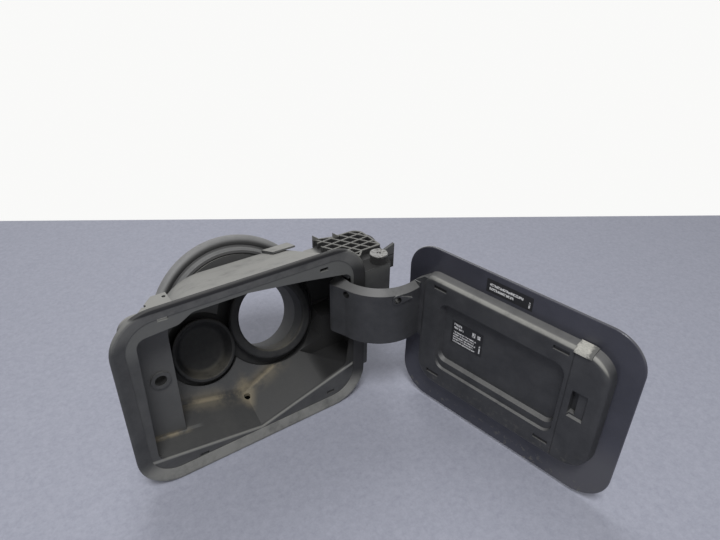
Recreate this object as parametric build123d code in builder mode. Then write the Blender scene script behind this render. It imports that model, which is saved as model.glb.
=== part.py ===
"""Car fuel door: a moulded filler pot and its painted door on a gooseneck hinge, standing open.

Millimetres. The origin is the centre of the mouth's lip plane, +X towards the hinge,
+Y into the car and +Z up. The door is drawn closed and then swung open about the hinge.
"""
import os
from math import cos, radians, sin

from build123d import *

os.makedirs("parts", exist_ok=True)

# Mouth lip and flange
LIP_WIDTH = 190.0
LIP_HEIGHT = 150.0
LIP_CORNER = 30.0
LIP_BAND = 9.5
LIP_EDGE = 2.2
LIP_THICK = 2.6
LIP_TIP = 0.5
LIP_ROUND = 1.1
FLANGE_INSET = 2.0
FLANGE_THICK = 2.6
WALL = 2.5

# Mouth opening in the flange
OPENING_LEFT = -80.0
OPENING_RIGHT = 83.5
TOP_RAIL = 13.0
BOTTOM_RAIL = 11.0
OPENING_CORNER = 7.0
LOBE_DROP = 8.0
LOBE_RIGHT = -50.0
PEAK_LEFT = -40.0
SHOULDER_X = 43.5
SHOULDER_DROP = 6.0
CHEEK_DROP = 13.0
CHEEK_BOTTOM = -11.0
SILL_LEFT_RISE = 12.0
SILL_RIGHT_X = 79.5
SILL_RIGHT_RISE = 23.0
WINDOW_WIDTH = 7.0
WINDOW_HEIGHT = 3.0
WINDOW_INSET = 10.5
WINDOW_X = (-59.0, -48.0)
LOW_WINDOW_INSET = 14.8
LOW_WINDOW_X = (59.5, 63.0)

# Pot hollow
POT_LEFT = -54.0
POT_RIGHT = 82.0
POT_LEDGE = 4.0
POT_CORNER = 16.0
BACK_DEPTH = 56.6
BACK_TILT = 24.5
BACK_RIGHT = 73.0
BACK_TOP = 45.0
BACK_BOTTOM = -60.0
BACK_CORNER = 18.0
BACK_TOP_LEFT_CORNER = 46.0
HUMP_LEFT = 46.0
HUMP_RIGHT = 70.0
HUMP_RISE = 2.6
HUMP_DEPTH = 18.0
HUMP_TAPER = 6.0
GUTTER_DEPTH = 34.0
GUTTER_RISE = 13.0
DRAIN_DIAMETER = 5.0

# Left shelf with the lock bore
SHELF_LEFT = -82.0
SHELF_LEDGE = 5.0
SHELF_DEPTH = 19.0
SHELF_CORNER = 9.0
LOCK_X = -64.7
LOCK_Z = 4.7
LOCK_BORE = 8.6
LOCK_RING = 14.0
LOCK_RING_RISE = 1.4
LOCK_SLEEVE = 12.0

# Ports in the back wall, in the wall's own plane
FILLER_X = 35.3
FILLER_V = -1.9
FILLER_BORE = 55.0
FILLER_RIM = 70.0
FILLER_RISE = 10.5
FILLER_FOOT = 62.0
FILLER_MOAT = 84.0
RECESS = 5.0
GUIDE_BORE = 57.0
GUIDE_WALL = 2.2
GUIDE_LENGTH = 19.0
CUP_X = -23.0
CUP_V = -10.6
CUP_RIM = 49.6
CUP_INSIDE = 44.4
CUP_FLOOR = 36.0
CUP_FOOT = 45.4
CUP_RISE = 6.0
CUP_MOAT = 58.0
PORT_BASE = 1.8
PORT_CLEARANCE = 0.4

# Rear neck and its body seal
NECK_X = 16.2
NECK_V = -2.9
NECK_RADIUS = 56.0
NECK_LENGTH = 7.0
NECK_LIP = 4.0
SEAL_BEAD = 9.0
SEAL_WEB = 3.0
SEAL_CLEARANCE = 0.15

# Hinge and its box
HINGE_X = 114.6
HINGE_Y = 10.4
OPEN_ANGLE = 100.0
PIN_DIAMETER = 5.0
PIN_CLEARANCE = 0.05
PIN_HEAD = 14.4
PIN_HEAD_THICK = 1.6
KNUCKLE_DIAMETER = 12.0
BEARING_GAP = 0.3
BOX_LEFT = 74.0
BOX_FRONT = 3.9
BOX_RIGHT_FRONT = 119.5
BOX_RIGHT = 131.5
BOX_REAR = 55.0
BOX_CORNER = 4.0
BOX_REAR_CORNER = 8.0
BOX_BEND = 10.0
ROOF_LEFT = 84.5
ROOF_FRONT = 18.4
ROOF_NOTCH = 6.0
ROOF_REAR = 62.5
ROOF_BREAK = 101.0
ROOF_BREAK_Y = 57.5
ROOF_RIGHT = 127.0
ROOF_CORNER = 9.0
BOX_FLOOR_GAP = 2.0
BOX_ROOF_GAP = 1.5
BOSS_DIAMETER = 14.0
BOSS_HEIGHT = 6.0
WELL_FRONT = 82.0
WELL_LEFT = 53.0
WELL_RIGHT = 98.5
WELL_REAR = 36.0
WELL_FLOOR = -43.0
RIB_HEIGHT = 5.0
RIB_THICK = 1.3
RIB_PITCH = 8.0
RIB_COUNT = 9
RIB_ANGLES = (5.0, -58.0)
FIN_LENGTH = 5.0
FIN_RISE = 3.6
TAB_ROOT = 124.2
TAB_LEFT = 119.5
TAB_RIGHT = 132.0
TAB_BOTTOM = 34.0
TAB_TOP = 55.5
TAB_SLANT = 4.5
TAB_Y = 13.0
TAB_THICK = 2.5
LUG_LEFT = -73.0
LUG_STEP = -57.0
LUG_RIGHT = -47.0
LUG_STEP_Y = 21.0
LUG_REAR = 34.0
LUG_CUT = 9.0
LUG_HOLE = 2.6

# Gooseneck arm
ARM_INNER = 34.2
ARM_THICK = 5.6
ARM_BOTTOM = -6.0
ARM_TOP = 42.0
ARM_BEVEL = 4.0
ARM_ROOT = -2.6
SPOKE_ANGLE = 74.0
BEND_ANGLE = 76.0
BEND_RADIUS = 5.0
BEND_REACH = 38.6
BLEND_ANGLE = 94.0
ARM_HOLE = 5.4
ARM_HOLE_Z = 34.0
ARM_HOLE_ANGLES = (96.0, 155.5)
ARM_PAD = 8.6
ARM_PAD_RISE = 0.9
ARM_PAD_TAIL = 12.0
GUSSET_LEFT = 58.0
GUSSET_SHOULDER = 71.5
GUSSET_RISE = 6.4

# Door panel and carrier
PANEL_WIDTH = 185.4
PANEL_HEIGHT = 143.1
PANEL_CORNER = 26.0
PANEL_FRONT = -6.0
PANEL_THICK = 2.4
PANEL_CROWN = 2000.0
CARRIER_LEFT = -78.5
CARRIER_RIGHT = 74.0
CARRIER_BOTTOM = -48.0
CARRIER_TOP = 53.5
CARRIER_CORNER = 20.0
CARRIER_HINGE_CORNER = 12.0
CARRIER_BACK = 6.0
CARRIER_DRAFT = 10.0
CARRIER_ROUND = 4.0
CARRIER_SKIN = 2.4
TRAY_LEFT = -48.5
TRAY_RIGHT = 54.5
TRAY_BOTTOM = -21.0
TRAY_TOP = 34.5
TRAY_CORNER = 8.0
TRAY_DEPTH = 5.5
TRAY_DRAFT = 22.0
TRAY_LEDGE = 6.0
TRAY_LEDGE_DEPTH = 2.0
SEAM_X = -51.6
SEAM_WIDTH = 0.8
SEAM_DEPTH = 0.5
LATCH_LEFT = -67.0
LATCH_RIGHT = -56.0
LATCH_BOTTOM = -2.5
LATCH_TOP = 20.0
LATCH_DEPTH = 2.6
LATCH_SLOT = 4.4
LATCH_SLOT_DEPTH = 6.0
CLIP_X = (55.5, -42.8)
CLIP_Z = (45.0, -35.4)
CLIP_LENGTH = 11.5
CLIP_WIDTH = 3.2
CLIP_CLEARANCE = 0.4
BUFFER_X = -57.0
BUFFER_LENGTH = 12.0
BUFFER_BOTTOM = 49.4
BUFFER_FRONT = -2.0
BUFFER_THICK = 1.6

flange_front = LIP_THICK
flange_back = LIP_THICK + FLANGE_THICK
opening_top = LIP_HEIGHT / 2 - TOP_RAIL
sill_low = BOTTOM_RAIL - LIP_HEIGHT / 2
lobe_top = opening_top - LOBE_DROP
pot_top = opening_top + POT_LEDGE
pot_bottom = sill_low - POT_LEDGE
shelf_top = lobe_top + SHELF_LEDGE
gutter_z = sill_low + GUTTER_RISE
hinge_axis = Axis((HINGE_X, HINGE_Y, 0), (0, 0, 1))
box_floor = ARM_BOTTOM - BOX_FLOOR_GAP
box_roof = ARM_TOP + BOX_ROOF_GAP
roof_top = box_roof + WALL
rib_top = roof_top + RIB_HEIGHT
neck_front = -(RECESS + 2 * WALL)
neck_rear = neck_front - NECK_LENGTH
back_wall = Plane(
    origin=(0, BACK_DEPTH, 0),
    x_dir=(1, 0, 0),
    z_dir=(0, -cos(radians(BACK_TILT)), sin(radians(BACK_TILT))),
)


def mouth_plane(depth):
    """The upright plane that far behind the lip's front, facing out of the mouth."""
    return Plane.XZ.offset(-depth)


def polar(radius, angle):
    """A point in plan round the hinge axis."""
    return (HINGE_X + radius * cos(radians(angle)), HINGE_Y + radius * sin(radians(angle)))


def floor_facet(side_x, side_z):
    """One half of the V-shaped pot floor: from the sill's low point up to a side and the gutter's end."""
    low = Vector(0, flange_back, sill_low)
    gutter_end = Vector(0, GUTTER_DEPTH, gutter_z)
    side = Vector(side_x, flange_back, side_z)
    normal = (side - low).cross(gutter_end - low)
    if normal.Z < 0:
        normal = normal * -1
    return Plane(origin=low, x_dir=side - low, z_dir=normal)


floor_left = floor_facet(OPENING_LEFT, sill_low + SILL_LEFT_RISE)
floor_right = floor_facet(SILL_RIGHT_X, sill_low + SILL_RIGHT_RISE)


def pot_volume(grow):
    """The pot's hollow, or its outer form when grown by the wall."""
    with BuildPart() as volume:
        with BuildSketch(mouth_plane(flange_back)):
            with Locations(((POT_LEFT + POT_RIGHT) / 2, (pot_top + pot_bottom) / 2)):
                RectangleRounded(
                    POT_RIGHT - POT_LEFT + 2 * grow, pot_top - pot_bottom + 2 * grow, POT_CORNER + grow
                )
        with BuildSketch(back_wall.offset(-grow)) as back_outline:
            with Locations(((POT_LEFT + BACK_RIGHT) / 2, (BACK_TOP + BACK_BOTTOM) / 2)):
                Rectangle(BACK_RIGHT - POT_LEFT + 2 * grow, BACK_TOP - BACK_BOTTOM + 2 * grow)
            fillet(back_outline.vertices().sort_by(Axis.X)[-2:], BACK_CORNER + grow)
            fillet(back_outline.vertices().sort_by(Axis.X)[:2].sort_by(Axis.Y)[0], BACK_CORNER + grow)
            top_left = back_outline.vertices().group_by(Axis.Y)[-1].sort_by(Axis.X)[0]
            fillet(top_left, BACK_TOP_LEFT_CORNER + grow)
        loft()
        shelf_right = POT_LEFT + 2 * POT_CORNER
        with BuildSketch(mouth_plane(flange_back)):
            with Locations(((SHELF_LEFT + shelf_right) / 2, (shelf_top + pot_bottom) / 2)):
                RectangleRounded(
                    shelf_right - SHELF_LEFT + 2 * grow,
                    shelf_top - pot_bottom + 2 * grow,
                    SHELF_CORNER + grow,
                )
        extrude(amount=-(SHELF_DEPTH - flange_back + grow))
        split(bisect_by=floor_left.offset(-grow), keep=Keep.TOP)
        split(bisect_by=floor_right.offset(-grow), keep=Keep.TOP)
    return volume.part


def hinge_box_volume(grow):
    """The box beside the pot that the gooseneck folds into."""
    with BuildPart() as volume:
        with BuildSketch(Plane.XY.offset(box_floor - grow)):
            with BuildLine():
                FilletPolyline(
                    (BOX_LEFT, BOX_FRONT),
                    (BOX_RIGHT_FRONT, BOX_FRONT),
                    (BOX_RIGHT, HINGE_Y + ARM_INNER),
                    (BOX_RIGHT, BOX_REAR),
                    (BOX_LEFT, BOX_REAR),
                    radius=(BOX_CORNER, BOX_BEND, BOX_REAR_CORNER),
                )
                Line((BOX_LEFT, BOX_REAR), (BOX_LEFT, BOX_FRONT))
            make_face()
            if grow:
                offset(amount=grow)
        extrude(amount=box_roof - box_floor + 2 * grow)
        with BuildSketch(Plane.XY.offset(WELL_FLOOR - grow)):
            with BuildLine():
                Polyline(
                    (WELL_FRONT, flange_back),
                    (WELL_LEFT, WELL_REAR),
                    (WELL_RIGHT, WELL_REAR),
                    (WELL_RIGHT, flange_back),
                    close=True,
                )
            make_face()
            if grow:
                offset(amount=grow)
        extrude(amount=box_floor - WELL_FLOOR + grow)
    return volume.part


def roof_outline():
    """The edge of the ribbed field on the hinge box's roof."""
    with BuildLine() as outline:
        FilletPolyline(
            (ROOF_LEFT, ROOF_FRONT),
            (HINGE_X - 2 * ROOF_NOTCH, ROOF_FRONT),
            (HINGE_X - ROOF_NOTCH, ROOF_FRONT + ROOF_NOTCH),
            (ROOF_RIGHT, ROOF_FRONT + ROOF_NOTCH),
            (ROOF_RIGHT, ROOF_BREAK_Y),
            (ROOF_BREAK, ROOF_BREAK_Y),
            (ROOF_LEFT, ROOF_REAR),
            radius=(RIB_THICK, RIB_THICK, RIB_THICK, ROOF_CORNER, RIB_THICK),
        )
        Line((ROOF_LEFT, ROOF_REAR), (ROOF_LEFT, ROOF_FRONT))
    return outline.edges()


# Filler pot: flange, pot, lock shelf, hinge box and rear neck, moulded as one piece
with BuildPart() as filler_pot:
    add(pot_volume(WALL))
    add(hinge_box_volume(WALL))
    split(bisect_by=mouth_plane(flange_front), keep=Keep.BOTTOM)
    with BuildSketch(mouth_plane(flange_back)):
        RectangleRounded(
            LIP_WIDTH - 2 * FLANGE_INSET, LIP_HEIGHT - 2 * FLANGE_INSET, LIP_CORNER - FLANGE_INSET
        )
    extrude(amount=FLANGE_THICK)
    with BuildSketch(back_wall.offset(-RECESS - WALL)):
        with Locations((FILLER_X, FILLER_V)):
            Circle(FILLER_MOAT / 2 + WALL)
        with Locations((CUP_X, CUP_V)):
            Circle(CUP_MOAT / 2 + WALL)
    extrude(amount=RECESS + WALL + FILLER_RISE)
    with BuildSketch(back_wall.offset(-WALL)):
        with Locations(((HUMP_LEFT + HUMP_RIGHT) / 2, BACK_TOP + WALL)):
            Rectangle(HUMP_RIGHT - HUMP_LEFT, 2 * HUMP_RISE)
    extrude(amount=HUMP_DEPTH, taper=HUMP_TAPER)
    with BuildSketch(back_wall.offset(neck_front)):
        with Locations((NECK_X, NECK_V)):
            Circle(NECK_RADIUS)
    extrude(amount=WALL)
    with BuildSketch(back_wall.offset(neck_rear)):
        with Locations((NECK_X, NECK_V)):
            Circle(NECK_RADIUS)
            Circle(NECK_RADIUS - WALL, mode=Mode.SUBTRACT)
    extrude(amount=NECK_LENGTH)
    with BuildSketch(back_wall.offset(neck_rear)):
        with Locations((NECK_X, NECK_V)):
            Circle(NECK_RADIUS + NECK_LIP)
            Circle(NECK_RADIUS - WALL, mode=Mode.SUBTRACT)
    extrude(amount=WALL)

    add(pot_volume(0), mode=Mode.SUBTRACT)
    add(hinge_box_volume(0), mode=Mode.SUBTRACT)
    with BuildSketch(back_wall.offset(-RECESS)):
        with Locations((FILLER_X, FILLER_V)):
            Circle(FILLER_MOAT / 2)
        with Locations((CUP_X, CUP_V)):
            Circle(CUP_MOAT / 2)
    extrude(amount=RECESS + FILLER_RISE, mode=Mode.SUBTRACT)
    with BuildSketch(mouth_plane(flange_back)):
        with BuildLine():
            FilletPolyline(
                (OPENING_LEFT, sill_low + SILL_LEFT_RISE),
                (0, sill_low),
                (SILL_RIGHT_X, sill_low + SILL_RIGHT_RISE),
                (OPENING_RIGHT, CHEEK_BOTTOM),
                (OPENING_RIGHT, opening_top - CHEEK_DROP),
                (SHOULDER_X, opening_top - SHOULDER_DROP),
                (0, opening_top),
                (PEAK_LEFT, opening_top),
                (LOBE_RIGHT, opening_top - SHOULDER_DROP),
                (OPENING_LEFT + FLANGE_INSET, lobe_top),
                radius=OPENING_CORNER,
                close=True,
            )
        make_face()
    extrude(amount=FLANGE_THICK, mode=Mode.SUBTRACT)

    with BuildSketch(mouth_plane(flange_back)):
        for x, inset in zip(WINDOW_X + LOW_WINDOW_X, 2 * (WINDOW_INSET,) + 2 * (LOW_WINDOW_INSET,)):
            side = 1 if x in (WINDOW_X[0], LOW_WINDOW_X[0]) else -1
            with Locations((x, side * (LIP_HEIGHT / 2 - inset))):
                Rectangle(WINDOW_WIDTH, WINDOW_HEIGHT)
    extrude(amount=FLANGE_THICK, mode=Mode.SUBTRACT)

    with BuildSketch(mouth_plane(SHELF_DEPTH + LOCK_SLEEVE)):
        with Locations((LOCK_X, LOCK_Z)):
            Circle(LOCK_RING / 2)
    extrude(amount=LOCK_SLEEVE + LOCK_RING_RISE)
    with BuildSketch(mouth_plane(SHELF_DEPTH + LOCK_SLEEVE)):
        with Locations((LOCK_X, LOCK_Z)):
            Circle(LOCK_BORE / 2)
    extrude(amount=LOCK_SLEEVE + LOCK_RING_RISE, mode=Mode.SUBTRACT)

    with BuildSketch(back_wall.offset(neck_front - GUIDE_LENGTH)):
        with Locations((FILLER_X, FILLER_V)):
            Circle(GUIDE_BORE / 2 + GUIDE_WALL)
            with Locations(Rot(0, 0, 150)):
                Rectangle(GUIDE_BORE, GUIDE_BORE, align=(Align.MIN, Align.MIN), mode=Mode.SUBTRACT)
    extrude(amount=GUIDE_LENGTH)
    with BuildSketch(back_wall.offset(neck_front - GUIDE_LENGTH)):
        with Locations((FILLER_X, FILLER_V)):
            Circle(GUIDE_BORE / 2)
    extrude(amount=GUIDE_LENGTH + 2 * WALL, mode=Mode.SUBTRACT)

    with Locations((0, GUTTER_DEPTH - DRAIN_DIAMETER, gutter_z - DRAIN_DIAMETER / 2)):
        Cylinder(DRAIN_DIAMETER / 2, 6 * WALL, mode=Mode.SUBTRACT)

    with BuildSketch(Plane.XY.offset(box_roof)):
        make_face(roof_outline())
    extrude(amount=WALL)
    with BuildSketch(Plane.XY.offset(roof_top)):
        with Locations(((ROOF_LEFT + BOX_RIGHT) / 2, (ROOF_FRONT + ROOF_REAR) / 2)):
            for angle in RIB_ANGLES:
                with Locations(Rot(0, 0, angle)):
                    with GridLocations(0, RIB_PITCH, 1, RIB_COUNT):
                        Rectangle(RIB_PITCH * (RIB_COUNT + 3), RIB_THICK)
        make_face(roof_outline(), mode=Mode.INTERSECT)
    extrude(amount=RIB_HEIGHT)
    with BuildSketch(Plane.XY.offset(roof_top)):
        make_face(roof_outline())
        offset(amount=-RIB_THICK, mode=Mode.SUBTRACT)
        with Locations((ROOF_LEFT, (ROOF_FRONT + ROOF_REAR) / 2)):
            Rectangle(2 * RIB_THICK, ROOF_REAR - ROOF_FRONT - 2 * RIB_THICK, mode=Mode.SUBTRACT)
    extrude(amount=RIB_HEIGHT)
    for x, y in ((ROOF_LEFT, ROOF_REAR), (ROOF_BREAK, ROOF_BREAK_Y)):
        with BuildSketch(mouth_plane(y)):
            with BuildLine():
                Polyline(
                    (x, roof_top),
                    (x, rib_top + FIN_RISE),
                    (x + FIN_LENGTH, rib_top),
                    (x + FIN_LENGTH, roof_top),
                    close=True,
                )
            make_face()
        extrude(amount=2 * RIB_THICK)
    with BuildSketch(mouth_plane(TAB_Y)):
        with BuildLine():
            Polyline(
                (TAB_ROOT, TAB_BOTTOM),
                (TAB_RIGHT, TAB_BOTTOM),
                (TAB_RIGHT, TAB_TOP),
                (TAB_LEFT, TAB_TOP - TAB_SLANT),
                (TAB_LEFT, box_roof + WALL / 2),
                (TAB_ROOT, box_roof + WALL / 2),
                close=True,
            )
        make_face()
    extrude(amount=-TAB_THICK)
    with BuildSketch(Plane.XY.offset(shelf_top + WALL / 2)):
        with BuildLine():
            Polyline(
                (LUG_LEFT, flange_front),
                (LUG_STEP, flange_front),
                (LUG_STEP, LUG_STEP_Y),
                (LUG_RIGHT, LUG_STEP_Y),
                (LUG_RIGHT, LUG_REAR),
                (LUG_STEP, LUG_REAR),
                (LUG_LEFT, LUG_REAR - 2 * LUG_CUT),
                close=True,
            )
        make_face()
        with Locations((LUG_LEFT + LUG_CUT, LUG_REAR - LUG_CUT), (LUG_RIGHT - WALL, LUG_REAR - LUG_CUT / 2)):
            Circle(LUG_HOLE / 2, mode=Mode.SUBTRACT)
    extrude(amount=WALL)

    with Locations((HINGE_X, HINGE_Y, roof_top)):
        Cylinder(BOSS_DIAMETER / 2, BOSS_HEIGHT, align=(Align.CENTER, Align.CENTER, Align.MIN))
    with Locations((HINGE_X, HINGE_Y, box_floor - 2 * WALL)):
        Cylinder(
            KNUCKLE_DIAMETER / 2,
            ARM_BOTTOM - BEARING_GAP - box_floor + 2 * WALL,
            align=(Align.CENTER, Align.CENTER, Align.MIN),
        )
    with Locations((HINGE_X, HINGE_Y, box_floor - WALL)):
        Cylinder(
            PIN_DIAMETER / 2 + PIN_CLEARANCE,
            roof_top + BOSS_HEIGHT - box_floor + WALL,
            align=(Align.CENTER, Align.CENTER, Align.MIN),
            mode=Mode.SUBTRACT,
        )

filler_pot.part.label = "filler_pot"
export_step(filler_pot.part, "parts/filler_pot.step")


# Mouth seal: the soft lip round the flange's front face
with BuildPart() as mouth_seal:
    with BuildSketch(mouth_plane(flange_front)):
        RectangleRounded(LIP_WIDTH, LIP_HEIGHT, LIP_CORNER)
        RectangleRounded(
            LIP_WIDTH - 2 * LIP_BAND, LIP_HEIGHT - 2 * LIP_BAND, LIP_CORNER - LIP_BAND, mode=Mode.SUBTRACT
        )
    extrude(amount=LIP_THICK)
    with BuildSketch(mouth_plane(0)):
        RectangleRounded(LIP_WIDTH - 2 * LIP_EDGE, LIP_HEIGHT - 2 * LIP_EDGE, LIP_CORNER - LIP_EDGE)
    with BuildSketch(mouth_plane(LIP_THICK - LIP_TIP)):
        RectangleRounded(LIP_WIDTH - 2 * LIP_BAND, LIP_HEIGHT - 2 * LIP_BAND, LIP_CORNER - LIP_BAND)
    loft(mode=Mode.SUBTRACT)
    fillet(mouth_seal.faces().sort_by(Axis.Y)[0].outer_wire().edges(), LIP_ROUND)

mouth_seal.part.label = "mouth_seal"
export_step(mouth_seal.part, "parts/mouth_seal.step")


def port_profile(x, v):
    """The plane through a port's axis: local x is the radius and y stands off the back wall."""
    return Plane(
        origin=back_wall.from_local_coords((x, v, 0)), x_dir=back_wall.x_dir, z_dir=-back_wall.y_dir
    )


def port_axis(x, v):
    """A port's axis, square to the back wall."""
    return Axis(back_wall.from_local_coords((x, v, 0)), back_wall.z_dir)


# Port insert: the soft filler collar and the round cup beside it, on one thin base
with BuildPart() as port_insert:
    with BuildSketch(back_wall.offset(-RECESS)):
        with Locations((FILLER_X, FILLER_V)):
            Circle(FILLER_MOAT / 2 - PORT_CLEARANCE)
        with Locations((CUP_X, CUP_V)):
            Circle(CUP_MOAT / 2 - PORT_CLEARANCE)
    extrude(amount=PORT_BASE)
    with BuildSketch(port_profile(FILLER_X, FILLER_V)):
        with BuildLine():
            FilletPolyline(
                (FILLER_BORE / 2, -RECESS),
                (FILLER_BORE / 2, FILLER_RISE),
                (FILLER_RIM / 2, FILLER_RISE),
                (FILLER_RIM / 2, FILLER_RISE / 2),
                (FILLER_FOOT / 2, FILLER_RISE / 2 - PORT_BASE),
                (FILLER_FOOT / 2, -RECESS),
                radius=(2, 2.2, 1, 1),
            )
            Line((FILLER_FOOT / 2, -RECESS), (FILLER_BORE / 2, -RECESS))
        make_face()
    revolve(axis=port_axis(FILLER_X, FILLER_V))
    with BuildSketch(port_profile(CUP_X, CUP_V)):
        with BuildLine():
            FilletPolyline(
                (0, PORT_BASE - RECESS),
                (CUP_FLOOR / 2, PORT_BASE - RECESS),
                (CUP_INSIDE / 2, CUP_RISE),
                (CUP_RIM / 2, CUP_RISE),
                (CUP_RIM / 2, CUP_RISE / 2),
                (CUP_FOOT / 2, CUP_RISE / 2 - PORT_BASE / 2),
                (CUP_FOOT / 2, -RECESS),
                radius=(4, 0.9, 0.9, 0.6, 0.6),
            )
            Polyline((CUP_FOOT / 2, -RECESS), (0, -RECESS), (0, PORT_BASE - RECESS))
        make_face()
    revolve(axis=port_axis(CUP_X, CUP_V))
    with BuildSketch(back_wall.offset(-RECESS)):
        with Locations((FILLER_X, FILLER_V)):
            Circle(FILLER_BORE / 2)
    extrude(amount=RECESS + FILLER_RISE, mode=Mode.SUBTRACT)

port_insert.part.label = "port_insert"
export_step(port_insert.part, "parts/port_insert.step")

# Body seal: rubber ring hooked on the rear neck, closing against the car body
bead_start = NECK_RADIUS + NECK_LIP + SEAL_WEB
with BuildPart() as body_seal:
    with BuildSketch(port_profile(NECK_X, NECK_V)):
        with Locations((bead_start + SEAL_BEAD / 2, neck_rear + WALL + 1)):
            Circle(SEAL_BEAD / 2)
        with BuildLine():
            Polyline(
                (NECK_RADIUS + SEAL_CLEARANCE, neck_rear + WALL + SEAL_CLEARANCE),
                (NECK_RADIUS + SEAL_CLEARANCE, neck_front),
                (NECK_RADIUS + 1.2, neck_front + 1.6),
                (NECK_RADIUS + 3.2, neck_front + 1.6),
                (NECK_RADIUS + 4.8, neck_front - 1),
                (bead_start + SEAL_WEB / 2, neck_front - 1.4),
                (bead_start + SEAL_WEB / 2, neck_rear + 1),
                (NECK_RADIUS + NECK_LIP + SEAL_CLEARANCE, neck_rear + 1),
                (NECK_RADIUS + NECK_LIP + SEAL_CLEARANCE, neck_rear + WALL + SEAL_CLEARANCE),
                close=True,
            )
        make_face()
    revolve(axis=port_axis(NECK_X, NECK_V))

body_seal.part.label = "body_seal"
export_step(body_seal.part, "parts/body_seal.step")

# Hinge pin: plain steel pin dropped through the roof boss, with a flat head
head_seat = roof_top + BOSS_HEIGHT
with BuildPart() as hinge_pin:
    with Locations((HINGE_X, HINGE_Y, box_floor - WALL + BEARING_GAP)):
        Cylinder(
            PIN_DIAMETER / 2,
            head_seat - box_floor + WALL - BEARING_GAP,
            align=(Align.CENTER, Align.CENTER, Align.MIN),
        )
    with Locations((HINGE_X, HINGE_Y, head_seat)):
        Cylinder(PIN_HEAD / 2, PIN_HEAD_THICK, align=(Align.CENTER, Align.CENTER, Align.MIN))
    fillet(hinge_pin.edges().group_by(Axis.Z)[-1], PIN_HEAD_THICK / 3)
    with Locations((HINGE_X, HINGE_Y, head_seat + PIN_HEAD_THICK)):
        Sphere(PIN_HEAD_THICK, mode=Mode.SUBTRACT)

hinge_pin.part.label = "hinge_pin"
export_step(hinge_pin.part, "parts/hinge_pin.step")

# Opening spring: bowed steel leaf lying along the hinge box's right wall, behind the arm
SPRING_THICK = 0.7
SPRING_WIDTH = 14.0
SPRING_BOW = 1.5
right_wall_run = Vector(BOX_RIGHT, HINGE_Y + ARM_INNER, 0) - Vector(BOX_RIGHT_FRONT, BOX_FRONT, 0)
with BuildPart() as opening_spring:
    with BuildSketch(Plane(origin=(BOX_RIGHT_FRONT, BOX_FRONT, 0), x_dir=right_wall_run, z_dir=(0, 0, 1))):
        with BuildLine():
            ThreePointArc(
                (12, SPRING_THICK / 2 + SEAL_CLEARANCE),
                (24, SPRING_THICK / 2 + SPRING_BOW),
                (36, SPRING_THICK / 2 + SEAL_CLEARANCE),
            )
        trace(line_width=SPRING_THICK)
    extrude(amount=SPRING_WIDTH)

opening_spring.part.label = "opening_spring"
export_step(opening_spring.part, "parts/opening_spring.step")

crown_axis = Plane(origin=(0, PANEL_FRONT + PANEL_CROWN, 0), x_dir=(0, 1, 0), z_dir=(1, 0, 0))


def crown_solid(inset):
    """The large cylinder whose nearest strip is the door skin's gentle crown."""
    with BuildPart() as crown:
        with BuildSketch(crown_axis.offset(-PANEL_WIDTH)):
            Circle(PANEL_CROWN - inset)
        extrude(amount=2 * PANEL_WIDTH)
    return crown.part


# Door panel: painted skin with a gentle crown, drawn closed
with BuildPart() as panel_closed:
    with BuildSketch(mouth_plane(0)):
        RectangleRounded(PANEL_WIDTH, PANEL_HEIGHT, PANEL_CORNER)
    extrude(amount=-PANEL_FRONT + 1)
    add(crown_solid(0), mode=Mode.INTERSECT)
    add(crown_solid(PANEL_THICK), mode=Mode.SUBTRACT)
    fillet(panel_closed.faces().sort_by(Axis.Y)[0].outer_wire().edges(), PANEL_THICK / 3)
    fillet(panel_closed.faces().sort_by(SortBy.AREA)[-1].outer_wire().edges(), PANEL_THICK / 3)
    with BuildSketch(mouth_plane(PANEL_FRONT + PANEL_THICK / 2)):
        with Locations([(x, z) for x in CLIP_X for z in CLIP_Z]):
            Rectangle(CLIP_LENGTH - 2 * CLIP_CLEARANCE, CLIP_WIDTH - 2 * CLIP_CLEARANCE)
    extrude(amount=-(CARRIER_BACK - 1 - PANEL_FRONT - PANEL_THICK / 2))

with BuildPart() as door_panel:
    add(panel_closed.part.rotate(hinge_axis, OPEN_ANGLE))

door_panel.part.label = "door_panel"
export_step(door_panel.part, "parts/door_panel.step")


def carrier_block(inset, back, edge_round):
    """The carrier's drafted block, widest against the door skin, with its rear edge rounded."""
    width = CARRIER_RIGHT - CARRIER_LEFT - 2 * inset
    height = CARRIER_TOP - CARRIER_BOTTOM - 2 * inset
    with BuildPart() as block:
        with BuildSketch(mouth_plane(PANEL_FRONT)) as outline:
            with Locations(((CARRIER_LEFT + CARRIER_RIGHT) / 2, (CARRIER_TOP + CARRIER_BOTTOM) / 2)):
                Rectangle(width, height)
            hinge_top = outline.vertices().group_by(Axis.X)[-1].sort_by(Axis.Y)[-1]
            fillet(hinge_top, CARRIER_HINGE_CORNER - inset)
            hinge_bottom = outline.vertices().group_by(Axis.Y)[0].sort_by(Axis.X)[-1]
            fillet(hinge_bottom, CARRIER_CORNER - inset)
            fillet(outline.vertices().sort_by(Axis.X)[:2], CARRIER_CORNER - inset)
        extrude(amount=-(back - PANEL_FRONT), taper=CARRIER_DRAFT)
        if edge_round:
            fillet(block.faces().sort_by(Axis.Y)[-1].edges(), edge_round)
    return block.part


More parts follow.
